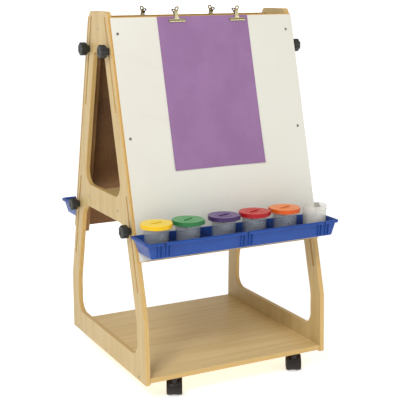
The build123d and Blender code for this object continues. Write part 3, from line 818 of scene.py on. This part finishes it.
CLIP_PLATE = 1.2 * MM
LOOP_R = 7.5 * MM
LOOP_HOLE_R = 2.7 * MM
LOOP_TILT = math.radians(32)
STRAP_HALF = 5.5 * MM
STRAP_REACH = 13.5 * MM
STRAP_SPREAD = math.radians(42)
JAW_HALF = 26.5 * MM
NECK_FOOT = 8.5 * MM
# Up the slope from the pin, in millimetres.
JAW_LOW, JAW_HIGH, NECK_TOP = -25.0, -15.5, 3.5
EAR_R = 2.4
LEVER_EAR_X = 5.4 * MM
BACK_EAR_X = 3.9 * MM
# From the board's face to the outer jaw; the front clips hold the paper too.
OUTER_GRIP = {"front": 1.1 * MM, "rear": 0.3 * MM}
BOARD_T = 6 * MM


def loop_outline(angle):
    """Round the ring's hole: the ring's edge, run out to the strap below it."""
    down = abs((angle + math.pi / 2 + math.pi) % TAU - math.pi)
    if down >= STRAP_SPREAD:
        return LOOP_R
    strap = min(STRAP_HALF / max(math.sin(down), 1e-6), STRAP_REACH / math.cos(down))
    return max(LOOP_R, strap)


def clip_handle(bm, matrix):
    """A strap with a ring at its end, lying in local X and Y with its hole's centre at the origin."""
    count = 56
    loops = {}
    for level, z in (("low", 0.0), ("high", CLIP_PLATE)):
        for kind in ("hole", "edge"):
            points = []
            for i in range(count):
                angle = TAU * i / count
                r = LOOP_HOLE_R if kind == "hole" else loop_outline(angle)
                point = Vector((r * math.cos(angle), r * math.sin(angle), z))
                points.append(bm.verts.new(matrix @ point))
            loops[level, kind] = points
    bridge(bm, loops["low", "hole"], loops["low", "edge"])
    bridge(bm, loops["low", "edge"], loops["high", "edge"])
    bridge(bm, loops["high", "edge"], loops["high", "hole"])
    bridge(bm, loops["high", "hole"], loops["low", "hole"])


def slab(bm, profile, sides):
    """A closed slab of a profile of (s, z) in millimetres between two places across."""
    loops = [[bm.verts.new((x, s * MM, z * MM)) for s, z in profile] for x in sides]
    bridge(bm, *loops)
    bm.faces.new(loops[0])
    bm.faces.new(loops[1])


def clip_half(matrix, grip, ear_x):
    """Jaw, neck, handle and ears of one half: local X across, Y up the slope, Z off the board."""
    bm = bmesh.new()
    plate = grip / MM
    jaw = [(0, 0), (0, 2.0), (0.8, 3.1), (2.2, 3.6), (3.8, 3.3), (5.0, 2.3), (6.4, 1.5)]
    jaw += [(JAW_HIGH - JAW_LOW, 1.2), (JAW_HIGH - JAW_LOW, 0)]
    slab(bm, [(JAW_LOW + s, plate + z) for s, z in jaw], (-JAW_HALF, JAW_HALF))
    foot, waist = NECK_FOOT, STRAP_HALF
    base = (JAW_HIGH - 1) * MM
    top = NECK_TOP * MM
    shoulder = top - 12 * MM
    neck = [(-foot, base), (foot, base), (waist, shoulder), (waist, top)]
    neck += [(-waist, top), (-waist, shoulder)]
    prism(bm, neck, grip, grip + CLIP_PLATE, Matrix())
    bend = Matrix.Translation((0, top - 0.6 * MM, grip))
    tilt = bend @ Matrix.Rotation(LOOP_TILT, 4, "X")
    clip_handle(bm, tilt @ Matrix.Translation((0, STRAP_REACH - 0.5 * MM, 0)))
    steps = 10
    below = [math.pi + math.pi * k / steps for k in range(steps + 1)]
    ear = [(EAR_R * math.cos(a), EAR_R * math.sin(a)) for a in below]
    ear += [(EAR_R, plate + 0.6), (-EAR_R, plate + 0.6)]
    for sign in (-1, 1):
        slab(bm, ear, (sign * ear_x, sign * (ear_x - CLIP_PLATE)))
    softened(bm, 0.22 * MM, 40.0)
    bm.transform(matrix)
    return bm


def make_clip(side, hand):
    """Both halves and the spring of one clip, round its pin."""
    slope = SLOPES[side]
    pivot = Vector(joint(f"clip_{side}_{hand}_open")["pos_m"])
    s, off = slope.measure(pivot)
    here = slope.matrix(pivot.x, s, off)
    clip = f"clip_{side}_{hand}"
    board = f"{side}_board_assembly"
    lever = clip_half(here, OUTER_GRIP[side] - off, LEVER_EAR_X)
    new_piece(f"{clip}_outer_jaw", lever, "nickel", f"{clip}_lever", [f"{clip}_lever"])
    flip = here @ Matrix.Rotation(math.pi, 4, "Y")
    back = clip_half(flip, BOARD_T + off, BACK_EAR_X)
    lathe(back, rounded(pin_profile()), 24, here @ Matrix.Rotation(math.pi / 2, 4, "Y"))
    new_piece(f"{clip}_inner_jaw", back, "nickel", board, [f"{clip}_back"])
    spring = bmesh.new()
    coil(spring, here)
    new_piece(f"{clip}_coil", spring, "spring", board, [f"{clip}_spring"])


def pin_profile():
    """The clip's pin with a head at each end, along local Z."""
    reach, radius, head = 6.2 * MM, 1.25 * MM, 2.1 * MM
    return [
        (0, -reach - 0.6 * MM, 0),
        (head, -reach - 0.6 * MM, 0.4 * MM),
        (head, -reach + 0.4 * MM, 0.2 * MM),
        (radius, -reach + 0.4 * MM, 0),
        (radius, reach - 0.4 * MM, 0),
        (head, reach - 0.4 * MM, 0.2 * MM),
        (head, reach + 0.6 * MM, 0.4 * MM),
        (0, reach + 0.6 * MM, 0),
    ]


def coil(bm, matrix):
    """A torsion spring round the pin: close turns and a leg at each end."""
    wire, radius, pitch, turns = 0.45 * MM, 1.95 * MM, 0.95 * MM, 4
    leg_end = -5 * MM
    centres = [Vector((-turns / 2 * pitch, leg_end, radius))]
    steps = 20
    for k in range(turns * steps + steps // 2 + 1):
        angle = TAU * k / steps
        x = -turns / 2 * pitch + pitch * k / steps
        centres.append(Vector((x, radius * math.sin(angle), radius * math.cos(angle))))
    centres.append(Vector((centres[-1].x, leg_end, -radius)))
    tube(bm, [matrix @ c for c in centres], wire, 8)


def tube(bm, centres, radius, sides):
    """A round bar along points."""
    angles = [TAU * k / sides for k in range(sides)]
    loops = []
    across = None
    for i, centre in enumerate(centres):
        ahead = centres[min(i + 1, len(centres) - 1)] - centres[max(i - 1, 0)]
        ahead.normalize()
        if across is None:
            across = ahead.orthogonal().normalized()
        across = (across - ahead * across.dot(ahead)).normalized()
        over = ahead.cross(across)
        spokes = [across * math.cos(a) + over * math.sin(a) for a in angles]
        loops.append([bm.verts.new(centre + radius * spoke) for spoke in spokes])
    for low, high in zip(loops, loops[1:]):
        bridge(bm, low, high)
    bm.faces.new(loops[0])
    bm.faces.new(loops[-1])


# ---------------------------------------------------------------- paper

SHEET_T = 0.25 * MM
SHEET_COLUMNS = 40
SHEET_ROWS = 60
SHEET_GAP = 0.45 * MM
WAVE_RISE = 1.1 * MM
CORNER_RISE = 2.2 * MM


def make_sheet():
    """The paper lies on the board under the clips and stands off it a little lower down."""
    low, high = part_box("drawing_sheet")
    slope = SLOPES["front"]
    top, bottom = (slope.measure((0, slope.face_y(z), z))[0] for z in (high.z, low.z))
    bm = bmesh.new()
    sheets = []
    for lift in (0.0, SHEET_T):
        rows = []
        for j in range(SHEET_ROWS + 1):
            down = j / SHEET_ROWS
            row = []
            for i in range(SHEET_COLUMNS + 1):
                u = i / SHEET_COLUMNS
                wave = 0.5 - 0.5 * math.cos(TAU * (1.5 * u + 0.15))
                corner = (2 * u - 1) ** 4 * down**6
                rise = SHEET_GAP + WAVE_RISE * wave * down**1.5 + CORNER_RISE * corner
                x = low.x + (high.x - low.x) * u
                s = top + (bottom - top) * down
                row.append(bm.verts.new(slope.point(x, s, rise + lift)))
            rows.append(row)
        sheets.append(rows)
    back, face = sheets
    for rows in sheets:
        for upper, lower in zip(rows, rows[1:]):
            for i in range(SHEET_COLUMNS):
                bm.faces.new((upper[i], upper[i + 1], lower[i + 1], lower[i]))
    bridge(bm, border(back), border(face))
    piece = new_piece("paper_sheet", bm, "paper", "drawing_sheet", ["drawing_sheet"])


def border(rows):
    """The points round the edge of a grid."""
    right = [row[-1] for row in rows[1:]]
    bottom = rows[-1][-2::-1]
    left = [row[0] for row in rows[-2:0:-1]]
    return rows[0] + right + bottom + left


# ---------------------------------------------------------------- screws


RECESS_WAIST = 0.38
LONG_SCREW = 26 * MM
LONG_SCREW_FROM = 20 * MM
SHORT_SCREW = 8.5 * MM


def crossed(angle, radius):
    """The four-armed outline of a cross recess."""
    arm = abs((angle % (TAU / 4)) - TAU / 8) / (TAU / 8)
    return radius * (RECESS_WAIST + (1 - RECESS_WAIST) * arm**3)


def countersunk(bm, matrix, length):
    """A countersunk screw with a cross recess, its head's face at the origin, pointing down -Z."""
    profile = [
        (0, -length, 0),
        (0.3 * MM, -length, 0),
        (2.0 * MM, -length + 5 * MM, 0),
        (2.0 * MM, -2.4 * MM, 0),
        (4.1 * MM, -0.25 * MM, 0.1 * MM),
        (3.9 * MM, 0.05 * MM, 0),
        (2.4 * MM, 0.12 * MM, 0, crossed),
        (1.7 * MM, -1.3 * MM, 0, crossed),
        (0, -1.6 * MM, 0),
    ]
    lathe(bm, rounded(profile, 2), 32, matrix)


def pan_headed(bm, matrix, length):
    """A pan-headed screw with a cross recess, its head standing on the origin, pointing down -Z."""
    profile = [
        (0, -length, 0),
        (2.0 * MM, -length, 0),
        (2.0 * MM, 0.02 * MM, 0),
        (4.5 * MM, 0.02 * MM, 0.2 * MM),
        (4.5 * MM, 2.4 * MM, 1.3 * MM),
        (2.3 * MM, 2.5 * MM, 0, crossed),
        (1.6 * MM, 1.0 * MM, 0, crossed),
        (0, 0.8 * MM, 0),
    ]
    lathe(bm, rounded(profile), 32, matrix)


def solids(node):
    """(lowest corner, highest corner) of each separate solid of a node."""
    bm = bmesh.new()
    bm.from_mesh(frame["nodes"][node].data)
    bmesh.ops.remove_doubles(bm, verts=bm.verts, dist=1e-6)
    left = set(bm.verts)
    boxes = []
    while left:
        stack = [left.pop()]
        group = [stack[0]]
        while stack:
            for edge in stack.pop().link_edges:
                for v in edge.verts:
                    if v in left:
                        left.remove(v)
                        stack.append(v)
                        group.append(v)
        low = Vector(min(v.co[i] for v in group) for i in range(3))
        high = Vector(max(v.co[i] for v in group) for i in range(3))
        boxes.append((low, high))
    bm.free()
    return sorted(boxes, key=lambda b: tuple(round(c, 4) for c in b[0]))


def make_frame_screws():
    bm = bmesh.new()
    for low, high in solids("frame_screws"):
        sign = 1 if low.x > 0 else -1
        face = Vector((high.x if sign > 0 else low.x, (low.y + high.y) / 2, (low.z + high.z) / 2))
        countersunk(bm, turned_to((sign, 0, 0), face), high.x - low.x)
    new_piece("panel_screws", bm, "zinc", "frame", ["frame_screws"])


def make_board_screws(side):
    slope = SLOPES[side]
    node = f"{side}_board_screws"
    bm = bmesh.new()
    for low, high in solids(node):
        middle = (low + high) / 2
        s = slope.measure(middle)[0]
        if (high - low).length > LONG_SCREW_FROM:
            countersunk(bm, turned_to(slope.out, slope.point(middle.x, s, 0)), LONG_SCREW)
        else:
            pan_headed(bm, turned_to(slope.out, slope.point(middle.x, s, TRAY_WALL)), SHORT_SCREW)
    new_piece(f"{side}_face_screws", bm, "zinc", f"{side}_board_assembly", [node])


# ---------------------------------------------------------------- casters

HOOD_FROM = math.radians(50)
HOOD_TO = math.radians(218)
ARC_STEPS = 40


def turned_arc(bm, section, start, end, place):
    """Sweeps a closed (x, r) section in millimetres round local X; angles go from +Y towards +Z."""
    section = [(x * MM, r * MM) for x, r in section]
    loops = []
    for k in range(ARC_STEPS + 1):
        angle = start + (end - start) * k / ARC_STEPS
        around = Vector((0, math.cos(angle), math.sin(angle)))
        loops.append([bm.verts.new(place @ (X_AXIS * x + around * r)) for x, r in section])
    for low, high in zip(loops, loops[1:]):
        bridge(bm, low, high)
    bm.faces.new(loops[0])
    bm.faces.new(loops[-1])


def make_caster(side, hand):
    """The hood with its web, hub and collar, and the pair of wheels on the axle."""
    name = f"caster_{side}_{hand}"
    roll = joint(f"{name}_roll")
    along = Vector(roll["axis"]).normalized()
    turn = Matrix((along, Z_AXIS.cross(along), Z_AXIS)).transposed().to_4x4()
    axle = Matrix.Translation(roll["pos_m"]) @ turn
    stem = Vector(joint(f"{name}_swivel")["pos_m"])
    hood = [(-23.5, 24.2), (-23.5, 26.2), (-22.6, 27.2), (-20.8, 27.8), (20.8, 27.8), (22.6, 27.2)]
    hood += [(23.5, 26.2), (23.5, 24.2), (22.9, 24.2), (22.9, 25.6), (22.2, 25.8)]
    hood += [(-22.2, 25.8), (-22.9, 25.6), (-22.9, 24.2)]
    web = [(-4.5, 3.05), (4.5, 3.05), (4.5, 26.6), (-4.5, 26.6)]
    hub = [(-4.5, 3.05), (4.5, 3.05), (4.5, 8.2), (4.2, 8.5), (-4.2, 8.5), (-4.5, 8.2)]
    bm = bmesh.new()
    turned_arc(bm, hood, HOOD_FROM, HOOD_TO, axle)
    turned_arc(bm, web, HOOD_FROM, HOOD_TO, axle)
    turned_arc(bm, hub, HOOD_TO, HOOD_FROM + TAU, axle)
    collar = [
        (5.6 * MM, 44 * MM, 0),
        (9 * MM, 44 * MM, 0.5 * MM),
        (9 * MM, 55 * MM, 0),
        (11 * MM, 57 * MM, 0.6 * MM),
        (11 * MM, 62 * MM, 0.8 * MM),
        (5.6 * MM, 62 * MM, 0),
        (5.6 * MM, 44 * MM, 0),
    ]
    lathe(bm, rounded(collar), 48, Matrix.Translation((stem.x, stem.y, 0)))
    new_piece(f"{name}_hood", bm, "caster", name, [f"{name}_housing"])
    wheel = [
        (3 * MM, 5.5 * MM, 0),
        (22 * MM, 5.5 * MM, 0.8 * MM),
        (25 * MM, 8.2 * MM, 1.8 * MM),
        (25 * MM, 18.5 * MM, 2.4 * MM),
        (20.5 * MM, 22.3 * MM, 1.0 * MM),
        (18.4 * MM, 22.0 * MM, 0.5 * MM),
        (17.2 * MM, 20.2 * MM, 0.6 * MM),
        (9.0 * MM, 19.6 * MM, 0.8 * MM),
        (7.4 * MM, 21.6 * MM, 0.7 * MM),
        (0, 22.0 * MM, 0),
    ]
    axle_sleeve = [(3 * MM, 5.5 * MM), (3 * MM, 0)]
    pair = bmesh.new()
    for sign in (-1, 1):
        outwards = axle @ turned_to((sign, 0, 0), (0, 0, 0))
        lathe(pair, rounded(wheel), 64, outwards)
        lathe(pair, axle_sleeve, 64, outwards)
    body = f"{name}_wheel_pair"
    new_piece(f"{name}_twin_wheels", pair, "wheel", body, [f"{name}_wheels"])


# ---------------------------------------------------------------- all pieces

for side in SIDES:
    for level in LEVELS:
        for hand in HANDS:
            make_knob(side, level, hand)
    for hand in HANDS:
        make_clip(side, hand)
        make_caster(side, hand)
    make_tray(side)
    make_board_screws(side)
for colour in CUPS:
    make_cup(colour)
for colour in LIDDED:
    make_lid(colour)
make_sheet()
make_frame_screws()


# ---------------------------------------------------------------- floor, light, camera


WHITE = (1, 1, 1, 1)
FLOOR_HALF = 40.0
WALL_Y = 39.0
WALL_H = 6.0


def make_floor():
    """A pale floor that glows a little, so that shadows stay light."""
    paint = Paint("pale_floor", Roughness=0.9, Emission_Color=WHITE, Emission_Strength=0.55)
    tint = paint.noise((1.5, 1.5, 1.5))
    paint.colour(paint.mix(tint, (0.90, 0.90, 0.90, 1), (0.92, 0.92, 0.92, 1)))
    corners = [(-1, -1), (1, -1), (1, 1), (-1, 1)]
    stage_sheet("floor", paint, [(x * FLOOR_HALF, y * FLOOR_HALF, 0) for x, y in corners])


def make_backdrop():
    """A lit white wall far behind the easel."""
    paint = Paint("white_wall", Roughness=0.9, Emission_Color=WHITE, Emission_Strength=1.0)
    corners = [(-1, 0), (1, 0), (1, 1), (-1, 1)]
    stage_sheet("backdrop", paint, [(x * FLOOR_HALF, WALL_Y, z * WALL_H) for x, z in corners])


def stage_sheet(name, paint, corners):
    """A flat sheet of the set, not part of the easel."""
    mesh = bpy.data.meshes.new(name)
    mesh.from_pydata(corners, [], [(0, 1, 2, 3)])
    mesh.materials.append(paint.material)
    sheet = bpy.data.objects.new(name, mesh)
    bpy.context.scene.collection.objects.link(sheet)


def soft_light(name, place, target, size, power):
    data = bpy.data.lights.new(name, "AREA")
    data.shape = "DISK"
    data.size = size
    data.energy = power
    lamp = bpy.data.objects.new(name, data)
    aim = Vector(target) - Vector(place)
    turn = aim.to_track_quat("-Z", "Y").to_matrix().to_4x4()
    lamp.matrix_world = Matrix.Translation(place) @ turn
    bpy.context.scene.collection.objects.link(lamp)


def make_world(strength):
    world = bpy.data.worlds.new("studio")
    world.use_nodes = True
    background = world.node_tree.nodes["Background"]
    background.inputs["Color"].default_value = WHITE
    background.inputs["Strength"].default_value = strength
    bpy.context.scene.world = world


def make_camera():
    place = Vector((-1.3757, -2.7630, 1.1905))
    azimuth, pitch, roll = (math.radians(a) for a in (26.89, -12.22, -0.39))
    flat = Vector((math.sin(azimuth), math.cos(azimuth), 0))
    ahead = flat * math.cos(pitch) + Z_AXIS * math.sin(pitch)
    level_right = ahead.cross(Z_AXIS).normalized()
    level_up = level_right.cross(ahead)
    right = level_right * math.cos(roll) + level_up * math.sin(roll)
    up = right.cross(ahead)
    data = bpy.data.cameras.new("camera")
    data.sensor_width = 36.0
    data.lens = 88.74
    data.clip_start, data.clip_end = 0.05, 200.0
    camera = bpy.data.objects.new("camera", data)
    turn = Matrix((right, up, -ahead)).transposed().to_4x4()
    camera.matrix_world = Matrix.Translation(place) @ turn
    bpy.context.scene.collection.objects.link(camera)
    bpy.context.scene.camera = camera


make_floor()
make_backdrop()
make_world(0.55)
soft_light("key", (-2.3, -2.2, 3.2), (0, 0, 0.6), 1.5, 84)
soft_light("fill", (2.6, -3.0, 1.8), (0, 0, 0.5), 2.6, 12)
make_camera()
bpy.context.scene.view_settings.view_transform = "Standard"
